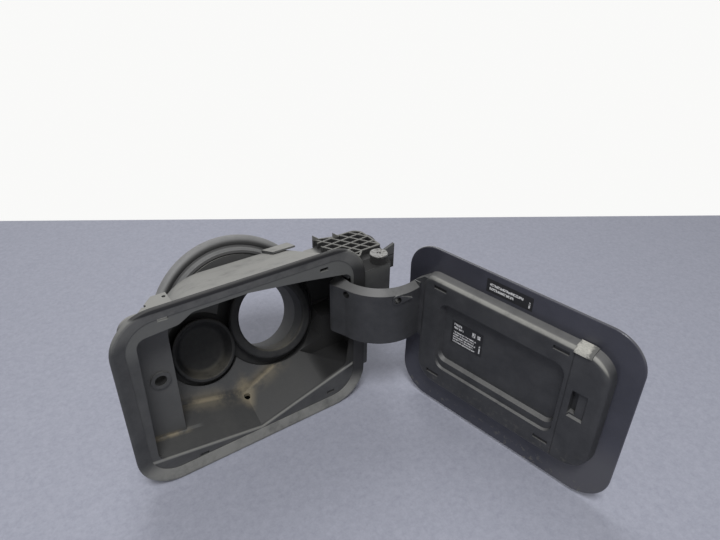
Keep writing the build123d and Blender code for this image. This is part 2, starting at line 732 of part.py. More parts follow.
# Door carrier: the hollow backing frame and the gooseneck arm, moulded as one piece, drawn closed
tray_x = (TRAY_LEFT + TRAY_RIGHT) / 2
latch_at = ((LATCH_LEFT + LATCH_RIGHT) / 2, (LATCH_TOP + LATCH_BOTTOM) / 2)
slot_at = (LATCH_RIGHT - LATCH_SLOT / 2, latch_at[1])
with BuildPart() as carrier_closed:
    add(carrier_block(0, CARRIER_BACK, CARRIER_ROUND))
    add(crown_solid(PANEL_THICK), mode=Mode.INTERSECT)
    add(carrier_block(CARRIER_SKIN, CARRIER_BACK - CARRIER_SKIN, 0), mode=Mode.SUBTRACT)
    with BuildSketch(mouth_plane(CARRIER_BACK - CARRIER_SKIN / 2)):
        with Locations((tray_x, (TRAY_TOP + TRAY_BOTTOM - TRAY_LEDGE) / 2)):
            RectangleRounded(
                TRAY_RIGHT - TRAY_LEFT + 2 * CARRIER_SKIN,
                TRAY_TOP - TRAY_BOTTOM + TRAY_LEDGE + 2 * CARRIER_SKIN,
                TRAY_CORNER + CARRIER_SKIN,
            )
        with Locations(latch_at):
            Rectangle(
                LATCH_RIGHT - LATCH_LEFT + 2 * CARRIER_SKIN,
                LATCH_TOP - LATCH_BOTTOM + 2 * CARRIER_SKIN,
            )
    extrude(amount=TRAY_DEPTH + CARRIER_SKIN / 2)
    with BuildSketch(mouth_plane(CARRIER_BACK)):
        with Locations((tray_x, (TRAY_TOP + TRAY_BOTTOM - TRAY_LEDGE) / 2)):
            RectangleRounded(TRAY_RIGHT - TRAY_LEFT, TRAY_TOP - TRAY_BOTTOM + TRAY_LEDGE, TRAY_CORNER)
        with Locations(latch_at):
            Rectangle(LATCH_RIGHT - LATCH_LEFT, LATCH_TOP - LATCH_BOTTOM)
    extrude(amount=TRAY_LEDGE_DEPTH, taper=TRAY_DRAFT, mode=Mode.SUBTRACT)
    with BuildSketch(mouth_plane(CARRIER_BACK)):
        with Locations((tray_x, (TRAY_TOP + TRAY_BOTTOM) / 2)):
            RectangleRounded(TRAY_RIGHT - TRAY_LEFT, TRAY_TOP - TRAY_BOTTOM, TRAY_CORNER)
    extrude(amount=TRAY_DEPTH, taper=TRAY_DRAFT, mode=Mode.SUBTRACT)
    with BuildSketch(mouth_plane(CARRIER_BACK)):
        with Locations(slot_at):
            Rectangle(LATCH_SLOT, LATCH_TOP - LATCH_BOTTOM - LATCH_SLOT)
    extrude(amount=LATCH_SLOT_DEPTH, mode=Mode.SUBTRACT)
    with BuildSketch(mouth_plane(CARRIER_BACK)):
        with Locations((SEAM_X, (CARRIER_TOP + CARRIER_BOTTOM) / 2)):
            Rectangle(SEAM_WIDTH, CARRIER_TOP - CARRIER_BOTTOM)
    extrude(amount=SEAM_DEPTH, mode=Mode.SUBTRACT)

    with BuildSketch(mouth_plane(CARRIER_BACK - CARRIER_SKIN / 2)):
        with BuildLine():
            Polyline(
                (HINGE_X - ARM_INNER, ARM_BOTTOM),
                (HINGE_X - ARM_INNER, ARM_TOP),
                (GUSSET_SHOULDER, ARM_TOP + GUSSET_RISE),
                (GUSSET_LEFT, ARM_TOP + GUSSET_RISE),
                (GUSSET_LEFT, ARM_BOTTOM),
                close=True,
            )
        make_face()
    extrude(amount=CARRIER_BACK - CARRIER_SKIN / 2 - ARM_ROOT)
    with BuildSketch(mouth_plane(CARRIER_BACK)):
        with Locations([(x, z) for x in CLIP_X for z in CLIP_Z]):
            Rectangle(CLIP_LENGTH, CLIP_WIDTH)
    extrude(amount=CARRIER_BACK - PANEL_FRONT, mode=Mode.SUBTRACT)

    with BuildSketch(Plane.XY.offset(ARM_BOTTOM)):
        with BuildLine():
            outer = CenterArc((HINGE_X, HINGE_Y), ARM_INNER + ARM_THICK, SPOKE_ANGLE, 180 - SPOKE_ANGLE)
            inner = CenterArc((HINGE_X, HINGE_Y), ARM_INNER, SPOKE_ANGLE, 180 - SPOKE_ANGLE)
            Line(outer @ 0, inner @ 0)
            Line(outer @ 1, inner @ 1)
        make_face()
        with Locations((HINGE_X, HINGE_Y)):
            with Locations(Rot(0, 0, SPOKE_ANGLE)):
                Rectangle(ARM_INNER + ARM_THICK / 2, ARM_THICK, align=(Align.MIN, Align.CENTER))
            Circle(KNUCKLE_DIAMETER / 2)
        with Locations((HINGE_X - ARM_INNER, HINGE_Y)):
            Rectangle(ARM_THICK, HINGE_Y - ARM_ROOT, align=(Align.MAX, Align.MAX))
    extrude(amount=ARM_TOP - ARM_BOTTOM)
    with BuildSketch(Plane.XY.offset(ARM_BOTTOM)):
        with Locations(polar(BEND_REACH, BEND_ANGLE)):
            Circle(BEND_RADIUS)
        with Locations(polar(ARM_INNER + ARM_THICK / 2, BLEND_ANGLE)):
            Circle(ARM_THICK / 2)
        make_hull()
    extrude(amount=ARM_TOP - ARM_BOTTOM)
    with BuildSketch(Plane(origin=(HINGE_X, HINGE_Y, 0), x_dir=(-1, 0, 0), z_dir=(0, 1, 0))) as bevel:
        with BuildLine():
            Polyline(
                (ARM_INNER, ARM_TOP),
                (ARM_INNER + ARM_THICK, ARM_TOP - ARM_BEVEL),
                (ARM_INNER + 2 * ARM_THICK, ARM_TOP - ARM_BEVEL),
                (ARM_INNER + 2 * ARM_THICK, ARM_TOP + 1),
                (ARM_INNER, ARM_TOP + 1),
                close=True,
            )
        make_face()
    revolve(axis=hinge_axis, revolution_arc=-120, mode=Mode.SUBTRACT)
    extrude(bevel.sketch, amount=-(HINGE_Y - CARRIER_BACK), mode=Mode.SUBTRACT)
    for angle in ARM_HOLE_ANGLES:
        outward = (cos(radians(angle)), sin(radians(angle)), 0)
        onward = (-sin(radians(angle)), cos(radians(angle)), 0)
        foot = polar(ARM_INNER + ARM_THICK / 2, angle) + (ARM_HOLE_Z,)
        if angle == ARM_HOLE_ANGLES[-1]:
            with BuildSketch(Plane(origin=foot, x_dir=onward, z_dir=outward)):
                Circle(ARM_PAD / 2)
                with BuildLine():
                    Polyline((0, ARM_PAD / 2), (ARM_PAD_TAIL, 0), (0, -ARM_PAD / 2), close=True)
                make_face()
            extrude(amount=ARM_THICK / 2 + ARM_PAD_RISE)
        with BuildSketch(Plane(origin=foot, x_dir=onward, z_dir=outward)):
            Circle(ARM_HOLE / 2)
        extrude(amount=ARM_THICK, both=True, mode=Mode.SUBTRACT)
    with Locations((HINGE_X, HINGE_Y, ARM_BOTTOM)):
        Cylinder(
            PIN_DIAMETER / 2 + PIN_CLEARANCE,
            ARM_TOP - ARM_BOTTOM,
            align=(Align.CENTER, Align.CENTER, Align.MIN),
            mode=Mode.SUBTRACT,
        )

with BuildPart() as door_carrier:
    add(carrier_closed.part.rotate(hinge_axis, OPEN_ANGLE))

door_carrier.part.label = "door_carrier"
export_step(door_carrier.part, "parts/door_carrier.step")

# Corner buffer: pale soft pad over the carrier's upper edge near the free corner, drawn closed
with BuildPart() as buffer_closed:
    add(carrier_block(-BUFFER_THICK, CARRIER_BACK + BUFFER_THICK, CARRIER_ROUND + BUFFER_THICK))
    with BuildSketch(mouth_plane(BUFFER_FRONT)):
        with Locations((BUFFER_X, BUFFER_BOTTOM)):
            Rectangle(BUFFER_LENGTH, CARRIER_TOP, align=(Align.CENTER, Align.MIN))
    extrude(amount=-(CARRIER_BACK + 2 * BUFFER_THICK - BUFFER_FRONT), mode=Mode.INTERSECT)
    add(carrier_block(0, CARRIER_BACK, CARRIER_ROUND), mode=Mode.SUBTRACT)

with BuildPart() as corner_buffer:
    add(buffer_closed.part.rotate(hinge_axis, OPEN_ANGLE))

corner_buffer.part.label = "corner_buffer"
export_step(corner_buffer.part, "parts/corner_buffer.step")
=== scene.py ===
import math

import bmesh
import bpy
from mathutils import Matrix, Vector


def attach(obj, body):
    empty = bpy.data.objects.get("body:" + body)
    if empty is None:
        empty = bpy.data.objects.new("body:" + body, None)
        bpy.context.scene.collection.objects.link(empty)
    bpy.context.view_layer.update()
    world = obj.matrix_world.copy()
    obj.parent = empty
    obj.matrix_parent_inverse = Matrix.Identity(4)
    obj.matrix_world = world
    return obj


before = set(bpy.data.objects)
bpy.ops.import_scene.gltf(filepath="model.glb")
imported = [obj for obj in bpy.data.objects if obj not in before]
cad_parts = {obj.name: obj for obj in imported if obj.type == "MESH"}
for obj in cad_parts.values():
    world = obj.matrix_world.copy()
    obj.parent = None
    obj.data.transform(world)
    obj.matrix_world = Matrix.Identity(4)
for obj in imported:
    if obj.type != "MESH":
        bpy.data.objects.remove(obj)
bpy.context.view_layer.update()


# Filler pot: one injection moulding in dark grey, glass-filled plastic, with a fine
# spark-eroded grain outside and the yellow road dust of years in the gutter of its floor.
# It drops into the car's side panel from inside and carries every other piece.
def new_finish(name):
    """A material with its node tree and its one shader."""
    finish = bpy.data.materials.new(name)
    finish.use_nodes = True
    return finish, finish.node_tree, finish.node_tree.nodes["Principled BSDF"]


def add_noise(tree, place, scale, detail, rough):
    """Clouds in the piece's own space: scale is in clouds per metre."""
    noise = tree.nodes.new("ShaderNodeTexNoise")
    noise.inputs["Scale"].default_value = scale
    noise.inputs["Detail"].default_value = detail
    noise.inputs["Roughness"].default_value = rough
    tree.links.new(place.outputs["Object"], noise.inputs["Vector"])
    return noise.outputs["Fac"]


def add_ramp(tree, source, stops):
    """Turns a value into a run of colours."""
    ramp = tree.nodes.new("ShaderNodeValToRGB")
    for element, (where, colour) in zip(ramp.color_ramp.elements, stops):
        element.position = where
        element.color = (*colour, 1.0)
    tree.links.new(source, ramp.inputs["Fac"])
    return ramp.outputs["Color"]


def add_math(tree, operation, first, second=None, clamp=False):
    """One sum on values, each of them a socket or a number."""
    step = tree.nodes.new("ShaderNodeMath")
    step.operation = operation
    step.use_clamp = clamp
    for socket, term in zip(step.inputs, (first, second)):
        if isinstance(term, float):
            socket.default_value = term
        elif term is not None:
            tree.links.new(term, socket)
    return step.outputs[0]


def multiply(tree, first, *others):
    """A product: where several masks hold at once, or a measure times a number."""
    for other in others:
        first = add_math(tree, "MULTIPLY", first, other)
    return first


def largest(tree, first, *others):
    """The largest of several values: where any of several masks holds."""
    for other in others:
        first = add_math(tree, "MAXIMUM", first, other)
    return first


def apart(tree, value, where):
    """How far a measure lies from another."""
    return add_math(tree, "ABSOLUTE", add_math(tree, "SUBTRACT", value, where))


def add_band(tree, value, none_at, full_at):
    """A mask that rises or falls smoothly from nothing to one."""
    band = tree.nodes.new("ShaderNodeMapRange")
    band.interpolation_type = "SMOOTHSTEP"
    band.inputs["From Min"].default_value = none_at
    band.inputs["From Max"].default_value = full_at
    tree.links.new(value, band.inputs["Value"])
    return band.outputs["Result"]


def add_range(tree, value, low, high):
    """Spreads a value between nothing and one over another range."""
    spread = tree.nodes.new("ShaderNodeMapRange")
    spread.inputs["To Min"].default_value = low
    spread.inputs["To Max"].default_value = high
    tree.links.new(value, spread.inputs["Value"])
    return spread.outputs["Result"]


def add_mix(tree, amount, under, over):
    """Lays one colour over another."""
    mix = tree.nodes.new("ShaderNodeMix")
    mix.data_type = "RGBA"
    tree.links.new(amount, mix.inputs["Factor"])
    for socket, colour in ((mix.inputs["A"], under), (mix.inputs["B"], over)):
        if isinstance(colour, tuple):
            socket.default_value = (*colour, 1.0)
        else:
            tree.links.new(colour, socket)
    return mix.outputs["Result"]


def add_bump(tree, shader, height, depth):
    """Raises the surface by a depth in metres."""
    bump = tree.nodes.new("ShaderNodeBump")
    bump.inputs["Strength"].default_value = 0.5
    bump.inputs["Distance"].default_value = depth
    tree.links.new(height, bump.inputs["Height"])
    tree.links.new(bump.outputs["Normal"], shader.inputs["Normal"])


def split_axes(tree, vector):
    """The three measures of a place or a direction."""
    axes = tree.nodes.new("ShaderNodeSeparateXYZ")
    tree.links.new(vector, axes.inputs["Vector"])
    return axes.outputs["X"], axes.outputs["Y"], axes.outputs["Z"]


def add_reach(tree, first, first_at, second, second_at):
    """Distance from an axis, from the two measures across it."""
    first_off = add_math(tree, "SUBTRACT", first, first_at)
    second_off = add_math(tree, "SUBTRACT", second, second_at)
    first_square = multiply(tree, first_off, first_off)
    second_square = multiply(tree, second_off, second_off)
    return add_math(tree, "SQRT", add_math(tree, "ADD", first_square, second_square))


def paint_node(name, finish):
    """Puts a finish on a CAD node."""
    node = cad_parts[name]
    node.data.materials.clear()
    node.data.materials.append(finish)


def grained_plastic(name, dark, light, grain_depth, shine, smoothest):
    """Moulded plastic: cloudy grey with a fine grain, and a mask of the faces that look up, for
    dust and painted sheen.
    """
    finish, tree, shader = new_finish(name)
    shader.inputs["Specular IOR Level"].default_value = shine
    place = tree.nodes.new("ShaderNodeTexCoord")
    clouds = add_noise(tree, place, scale=55.0, detail=6.0, rough=0.65)
    specks = add_noise(tree, place, scale=900.0, detail=2.0, rough=0.5)
    colour = add_ramp(tree, clouds, ((0.32, dark), (0.7, light)))
    upward = split_axes(tree, place.outputs["Normal"])[2]
    upward_dust_sheen = multiply(tree, add_band(tree, upward, 0.3, 0.9), add_band(tree, clouds, 0.0, 0.58))
    roughness = add_range(tree, clouds, smoothest, smoothest + 0.2)
    tree.links.new(roughness, shader.inputs["Roughness"])
    add_bump(tree, shader, specks, grain_depth)
    return finish, tree, shader, place, clouds, upward_dust_sheen, colour, roughness


pot_dark, pot_light = (0.038, 0.039, 0.041), (0.072, 0.073, 0.074)
top_dust_sheen_colour = (0.25, 0.248, 0.236)
floor_shade_dark, floor_shade_light = (0.014, 0.0145, 0.015), (0.034, 0.034, 0.033)
deep_shade, cell_shade = (0.004, 0.004, 0.0045), (0.01, 0.01, 0.0105)
neck_shade = (0.016, 0.016, 0.0165)
shelf_highlight, flange_highlight = (0.1, 0.101, 0.1), (0.125, 0.128, 0.124)
sill_highlight_colour, rib_highlight = (0.24, 0.24, 0.225), (0.15, 0.149, 0.14)
road_dust = (0.2, 0.17, 0.115)
pot_finish, tree, shader, place, clouds, upward_dust_sheen, colour, roughness = grained_plastic(
    "pot_plastic", pot_dark, pot_light, grain_depth=0.00012, shine=0.7, smoothest=0.6
)
across, inward, height = split_axes(tree, place.outputs["Object"])
facing_x, facing_y, facing_z = split_axes(tree, place.outputs["Normal"])
# Faces that look up near the top of the pot are painted pale: dust, and painted sheen.
upward_dust_sheen = multiply(
    tree, upward_dust_sheen, add_band(tree, height, 0.025, 0.045), add_band(tree, across, 0.084, 0.078)
)
colour = add_mix(tree, upward_dust_sheen, colour, top_dust_sheen_colour)

# The floor is two slopes that meet at x = 0 and climb towards the leaning back wall.
left_slope, right_slope, floor_climb, gutter_drop = -0.15, 0.289, 0.45, 0.06634
wall_lean, wall_depth, wall_upright = 0.415, 0.0515, 0.91
shelf_depth = 0.019
sides = largest(tree, multiply(tree, across, left_slope), multiply(tree, across, right_slope))
climb = add_math(tree, "SUBTRACT", multiply(tree, inward, floor_climb), gutter_drop)
over_floor = add_math(tree, "SUBTRACT", height, add_math(tree, "ADD", sides, climb))
wall = add_math(tree, "ADD", multiply(tree, height, wall_lean), wall_depth)
off_wall = add_math(tree, "SUBTRACT", wall, multiply(tree, inward, wall_upright))
off_crease = add_math(tree, "ADD", over_floor, add_math(tree, "ABSOLUTE", off_wall))
off_shelf = apart(tree, inward, shelf_depth)
below_roof = add_band(tree, height, 0.046, 0.04)
behind_lip = add_band(tree, inward, 0.004, 0.006)

# Only faces that look towards the mouth count as the inside of the pot.
inside = multiply(
    tree,
    add_band(tree, off_wall, -0.002, -0.0005),
    add_band(tree, facing_x, 0.5, 0.25),
    add_band(tree, facing_y, 0.5, 0.25),
    add_band(tree, facing_z, -0.5, -0.25),
)

# Floor and hinge well, painted darker than the walls as painted shade, and darkest towards the
# hinge as painted shadow.
on_floor = add_band(tree, add_math(tree, "ABSOLUTE", over_floor), 0.004, 0.002)
in_well = multiply(tree, add_band(tree, across, 0.036, 0.048), below_roof)
floor_well_shade = multiply(tree, largest(tree, on_floor, in_well), inside, behind_lip)
floor_well_shade_colour = add_ramp(tree, clouds, ((0.35, floor_shade_dark), (0.7, floor_shade_light)))
colour = add_mix(tree, floor_well_shade, colour, floor_well_shade_colour)
far_end = multiply(tree, add_band(tree, across, 0.038, 0.066), below_roof, inside, behind_lip)
on_flange = add_band(tree, inward, 0.0056, 0.005)
hinge_side = multiply(
    tree,
    on_flange,
    below_roof,
    add_band(tree, across, 0.074, 0.082),
    add_band(tree, across, 0.0945, 0.0935),
    add_band(tree, height, -0.052, -0.04),
    add_band(tree, height, 0.036, 0.02),
)
well_shade = largest(tree, far_end, hinge_side)
colour = add_mix(tree, well_shade, colour, deep_shade)

# Painted highlight on the lock shelf and the top of the flange, which catch the light.
on_shelf = multiply(
    tree, add_band(tree, off_shelf, 0.0016, 0.0008), add_band(tree, across, -0.04, -0.046), 0.55
)
colour = add_mix(tree, on_shelf, colour, shelf_highlight)
flange_top = multiply(tree, on_flange, add_band(tree, height, 0.034, 0.052), 0.7)
colour = add_mix(tree, flange_top, colour, flange_highlight)

# Painted shade in dark places: the lock bore, the pin's boss with the ledge round it, and the
# neck's end.
lock_x, lock_z = -0.0647, 0.0047
hinge_x, hinge_y = 0.1146, 0.0104
roof_top = 0.046
bore = multiply(
    tree,
    add_band(tree, add_reach(tree, across, lock_x, height, lock_z), 0.0048, 0.0044),
    add_band(tree, inward, 0.0176, 0.0186),
)
boss = multiply(
    tree,
    add_band(tree, add_reach(tree, across, hinge_x, inward, hinge_y), 0.0076, 0.0071),
    add_band(tree, height, 0.0456, 0.0464),
)
ledge = multiply(
    tree,
    add_band(tree, apart(tree, height, roof_top), 0.0008, 0.0003),
    add_band(tree, across, 0.09, 0.094),
    add_band(tree, inward, 0.002, 0.0032),
    add_band(tree, inward, 0.0184, 0.0176),
)
neck_end = multiply(
    tree, add_band(tree, inward, 0.079, 0.081), add_band(tree, facing_y, -0.5, -0.8)
)
hollow_shade = largest(tree, bore, boss, ledge)
colour = add_mix(tree, neck_end, colour, neck_shade)
colour = add_mix(tree, hollow_shade, colour, deep_shade)
tree.links.new(largest(tree, roughness, well_shade, hollow_shade), shader.inputs["Roughness"])

# Painted highlight on the edge of the sill and on the roof's rib tops, and painted shade in the
# dark cells between the ribs.
flange_front, sill_drop = 0.0026, 0.064
sill = add_math(tree, "SUBTRACT", sides, sill_drop)
off_edge = add_math(tree, "ADD", apart(tree, height, sill), apart(tree, inward, flange_front))
sill_highlight = multiply(
    tree, add_band(tree, off_edge, 0.002, 0.0006), add_band(tree, across, 0.086, 0.084)
)
colour = add_mix(tree, sill_highlight, colour, sill_highlight_colour)
over_box = multiply(
    tree, add_band(tree, across, 0.08, 0.084), add_band(tree, inward, 0.017, 0.018)
)
cells = multiply(tree, over_box, add_band(tree, height, 0.0445, 0.0455))
colour = add_mix(tree, cells, colour, cell_shade)
rib_tops = multiply(tree, over_box, add_band(tree, height, 0.0502, 0.0508))
colour = add_mix(tree, rib_tops, colour, rib_highlight)

# Road dust in the crease of the floor, round the drain hole and in the corner by the shelf.
crease_line = add_band(tree, off_crease, 0.0026, 0.0004)
crease_haze = multiply(tree, add_band(tree, off_crease, 0.009, 0.001), 0.4)
off_drain = add_math(tree, "ADD", off_crease, add_math(tree, "ABSOLUTE", across))
drain_dust = add_band(tree, off_drain, 0.016, 0.003)
off_corner = add_math(tree, "ADD", over_floor, off_shelf)
corner_dust = multiply(
    tree, add_band(tree, off_corner, 0.0036, 0.0004), add_band(tree, across, -0.046, -0.056)
)
dust = multiply(
    tree,
    largest(tree, crease_line, crease_haze, drain_dust, corner_dust),
    inside,
    add_band(tree, over_floor, 0.018, 0.006),
    add_band(tree, across, 0.047, 0.034),
    add_band(tree, clouds, 0.34, 0.62),
)
tree.links.new(add_mix(tree, dust, colour, road_dust), shader.inputs["Base Color"])
paint_node("filler_pot", pot_finish)


# Mouth lip: a soft thermoplastic bead moulded on to the flange. Its bottom and its top are
# painted paler, as dust and painted highlight; its upper rim and its hinge side are painted
# darker than the pot, as painted shade.
def soft_rubber(name, dark, light, streak_scale, shine):
    """Moulded soft rubber: close, dull and a little cloudy."""
    finish, tree, shader = new_finish(name)
    shader.inputs["Specular IOR Level"].default_value = shine
    place = tree.nodes.new("ShaderNodeTexCoord")
    clouds = add_noise(tree, place, scale=streak_scale, detail=7.0, rough=0.7)
    skin = add_noise(tree, place, scale=1400.0, detail=2.0, rough=0.5)
    colour = add_ramp(tree, clouds, ((0.34, dark), (0.68, light)))
    tree.links.new(add_range(tree, clouds, 0.5, 0.74), shader.inputs["Roughness"])
    add_bump(tree, shader, skin, 0.00006)
    return finish, tree, shader, place, clouds, colour


lip_dark, lip_light = (0.04, 0.041, 0.043), (0.074, 0.075, 0.077)
lip_shade, lip_dust_highlight = (0.014, 0.014, 0.015), (0.235, 0.235, 0.222)
lip_finish, tree, shader, place, clouds, colour = soft_rubber(
    "soft_lip", lip_dark, lip_light, streak_scale=45.0, shine=0.5
)
across, _, height = split_axes(tree, place.outputs["Object"])
# Painted shade on the hinge side.
colour = add_mix(tree, add_band(tree, across, 0.076, 0.088), colour, lip_shade)
# Paler bottom and top: dust and painted highlight.
top = multiply(tree, add_band(tree, height, 0.05, 0.064), 0.6)
bottom = add_band(tree, height, -0.046, -0.064)
dust_and_highlight = multiply(tree, largest(tree, bottom, top), add_band(tree, clouds, 0.15, 0.6))
colour = add_mix(tree, dust_and_highlight, colour, lip_dust_highlight)
# Painted shade along the upper rim.
rim = add_band(tree, height, 0.0708, 0.0724)
tree.links.new(add_mix(tree, rim, colour, lip_shade), shader.inputs["Base Color"])
paint_node("mouth_seal", lip_finish)


# Port insert: collar and cup in one soft moulding, clipped into the pot's back wall. The
# collar closes round the tank's filler neck; the faces that look up are painted paler, as
# dust and painted highlight.
insert_dark, insert_light = (0.022, 0.023, 0.025), (0.046, 0.046, 0.046)
insert_dust_highlight = (0.11, 0.104, 0.088)
insert_finish, tree, shader, place, clouds, colour = soft_rubber(
    "soft_insert", insert_dark, insert_light, streak_scale=70.0, shine=0.2
)
upward = split_axes(tree, place.outputs["Normal"])[2]
# Faces that look up: dust and painted highlight.
dust_and_highlight = multiply(tree, add_band(tree, upward, 0.45, 1.0), add_band(tree, clouds, 0.25, 0.6))
tree.links.new(add_mix(tree, dust_and_highlight, colour, insert_dust_highlight), shader.inputs["Base Color"])
paint_node("port_insert", insert_finish)


# Body seal: an extruded rubber ring, joined into a loop and hooked over the rear neck. Its
# front is painted darker in the groove below the bead and where it meets the neck, as painted
# shade.
def add_vector_math(tree, operation, first, second=(0.0, 0.0, 0.0)):
    """One sum on a place or a direction, with a fixed second term."""
    step = tree.nodes.new("ShaderNodeVectorMath")
    step.operation = operation
    step.inputs[1].default_value = second
    tree.links.new(first, step.inputs[0])
    return step.outputs["Value" if operation in ("DOT_PRODUCT", "LENGTH") else "Vector"]


seal_dark, seal_light = (0.14, 0.141, 0.142), (0.21, 0.211, 0.212)
seal_shade = (0.04, 0.04, 0.041)
up_the_wall = (0.0, 0.4147, 0.91)
ring_x, ring_up = 0.0162, 0.02057
seal_finish, tree, shader, place, clouds, colour = soft_rubber(
    "seal_rubber", seal_dark, seal_light, streak_scale=38.0, shine=0.7
)
across = split_axes(tree, place.outputs["Object"])[0]
facing_y = split_axes(tree, place.outputs["Normal"])[1]
upwards = add_vector_math(tree, "DOT_PRODUCT", place.outputs["Object"], up_the_wall)
ring_reach = add_reach(tree, across, ring_x, upwards, ring_up)
# Painted shade in the groove and where the ring meets the neck.
groove = multiply(
    tree, add_band(tree, ring_reach, 0.0692, 0.0655), add_band(tree, ring_reach, 0.0612, 0.0625)
)
on_neck = add_band(tree, ring_reach, 0.0596, 0.0588)
shaded = multiply(tree, largest(tree, groove, on_neck), add_band(tree, facing_y, -0.1, -0.4))
tree.links.new(add_mix(tree, shaded, colour, seal_shade), shader.inputs["Base Color"])
paint_node("body_seal", seal_finish)


# Hinge pin and opening spring: bright zinc-plated steel. The pin drops through the roof
# boss and the arm's knuckle; the bowed leaf lies along the hinge box's wall.
dull_zinc, bright_zinc = (0.09, 0.088, 0.084), (0.26, 0.26, 0.255)
steel_finish, tree, shader = new_finish("pin_steel")
shader.inputs["Metallic"].default_value = 1.0
place = tree.nodes.new("ShaderNodeTexCoord")
clouds = add_noise(tree, place, scale=420.0, detail=5.0, rough=0.6)
plating = add_ramp(tree, clouds, ((0.36, dull_zinc), (0.6, bright_zinc)))
tree.links.new(plating, shader.inputs["Base Color"])
tree.links.new(add_range(tree, clouds, 0.36, 0.6), shader.inputs["Roughness"])
add_bump(tree, shader, clouds, 0.00003)
paint_node("hinge_pin", steel_finish)
paint_node("opening_spring", steel_finish)


# Door carrier: frame and gooseneck arm in one moulding, of the pot's plastic but smoother,
# hung on the pin. Its faces that look up are painted paler, as dust and painted sheen, and its
# upper edge is painted pale, as wear and painted highlight. The arm's two holes are painted
# dark as painted shade, and scuffs and dried dirt lie low on the frame.
carrier_dark, carrier_light = (0.024, 0.025, 0.028), (0.049, 0.05, 0.054)
carrier_dust_sheen_colour, edge_wear_highlight_colour = (0.13, 0.13, 0.13), (0.27, 0.267, 0.25)
dried_dirt, hole_shade = (0.15, 0.14, 0.12), (0.005, 0.005, 0.0055)
carrier_finish, tree, shader, place, clouds, upward_dust_sheen, colour, _ = grained_plastic(
    "carrier_plastic", carrier_dark, carrier_light, grain_depth=0.00008, shine=0.5, smoothest=0.42
)
_, inward, height = split_axes(tree, place.outputs["Object"])
facing_x, _, facing_z = split_axes(tree, place.outputs["Normal"])
# Faces that look up are painted paler: dust, and painted sheen.
colour = add_mix(tree, upward_dust_sheen, colour, carrier_dust_sheen_colour)
# Painted highlight, with wear, on the rounded upper edge.
edge_wear_highlight = multiply(
    tree,
    add_band(tree, facing_x, -0.2, -0.45),
    add_band(tree, facing_z, 0.3, 0.55),
    add_band(tree, clouds, 0.2, 0.6),
    add_band(tree, height, 0.02, 0.035),
    add_band(tree, inward, -0.03, -0.045),
)
colour = add_mix(tree, edge_wear_highlight, colour, edge_wear_highlight_colour)
arm_radius, hole_height = 0.037, 0.034
# Painted shade in the arm's two holes.
for hole_angle in (math.radians(196.0), math.radians(255.5)):
    outward = Vector((math.cos(hole_angle), math.sin(hole_angle), 0.0))
    foot = Vector((hinge_x, hinge_y, hole_height)) + arm_radius * outward
    from_foot = add_vector_math(tree, "SUBTRACT", place.outputs["Object"], foot)
    from_axis = add_vector_math(tree, "CROSS_PRODUCT", from_foot, outward)
    hole = add_band(tree, add_vector_math(tree, "LENGTH", from_axis), 0.00305, 0.0028)
    colour = add_mix(tree, hole, colour, hole_shade)
scuffs = multiply(
    tree,
    add_band(tree, add_noise(tree, place, scale=260.0, detail=6.0, rough=0.7), 0.52, 0.66),
    add_band(tree, height, -0.026, -0.048),
    0.45,
)
tree.links.new(add_mix(tree, scuffs, colour, dried_dirt), shader.inputs["Base Color"])
paint_node("door_carrier", carrier_finish)


# Door panel: thin skin, painted dark blue-grey metallic under a clear coat, with painted glint
# on its flakes, and snapped into the carrier by its tabs, whose ends are painted dark as painted
# shade in the slots. Its inner face shows in this pose, duller, scratched along the lower edge
# and worn at the free end.
swing = math.radians(100.0)
along_door = (math.cos(swing), math.sin(swing), 0.0)
behind_skin = (-math.sin(swing), math.cos(swing), 0.0)
paint_dark, paint_light = (0.04, 0.041, 0.056), (0.06, 0.061, 0.08)
paint_glint, worn_paint = (0.16, 0.17, 0.2), (0.1, 0.1, 0.112)
scratched_paint, tab_shade = (0.14, 0.135, 0.12), (0.006, 0.006, 0.007)
paint_finish, tree, shader = new_finish("paint")
shader.inputs["Coat Weight"].default_value = 0.35
shader.inputs["Coat Roughness"].default_value = 0.12
shader.inputs["Metallic"].default_value = 0.15
place = tree.nodes.new("ShaderNodeTexCoord")
flake = add_noise(tree, place, scale=2600.0, detail=2.0, rough=0.5)
haze = add_noise(tree, place, scale=30.0, detail=5.0, rough=0.6)
_, inward, height = split_axes(tree, place.outputs["Object"])
inner_face = add_band(tree, split_axes(tree, place.outputs["Normal"])[0], -0.3, -0.6)
colour = add_ramp(tree, haze, ((0.3, paint_dark), (0.7, paint_light)))
# Painted glint on the paint's flakes.
glint = multiply(tree, add_band(tree, flake, 0.6, 0.75), 0.25)
colour = add_mix(tree, glint, colour, paint_glint)
worn = multiply(
    tree, inner_face, add_band(tree, height, -0.01, -0.04), add_band(tree, inward, -0.135, -0.165)
)
colour = add_mix(tree, worn, colour, worn_paint)
scratches = multiply(
    tree,
    inner_face,
    add_band(tree, add_noise(tree, place, scale=180.0, detail=8.0, rough=0.75), 0.55, 0.62),
    add_band(tree, height, -0.052, -0.070),
)
colour = add_mix(tree, scratches, colour, scratched_paint)
from_hinge = add_vector_math(tree, "SUBTRACT", place.outputs["Object"], (hinge_x, hinge_y, 0.0))
off_skin = add_vector_math(tree, "DOT_PRODUCT", from_hinge, behind_skin)
# Painted shade in the slots, over the tabs' ends.
tabs = add_band(tree, off_skin, -0.0108, -0.0098)
tree.links.new(add_mix(tree, tabs, colour, tab_shade), shader.inputs["Base Color"])
duller = multiply(tree, inner_face, 0.18)
roughness = add_math(tree, "ADD", add_range(tree, haze, 0.14, 0.26), duller)
tree.links.new(roughness, shader.inputs["Roughness"])
add_bump(tree, shader, flake, 0.00001)
paint_node("door_panel", paint_finish)


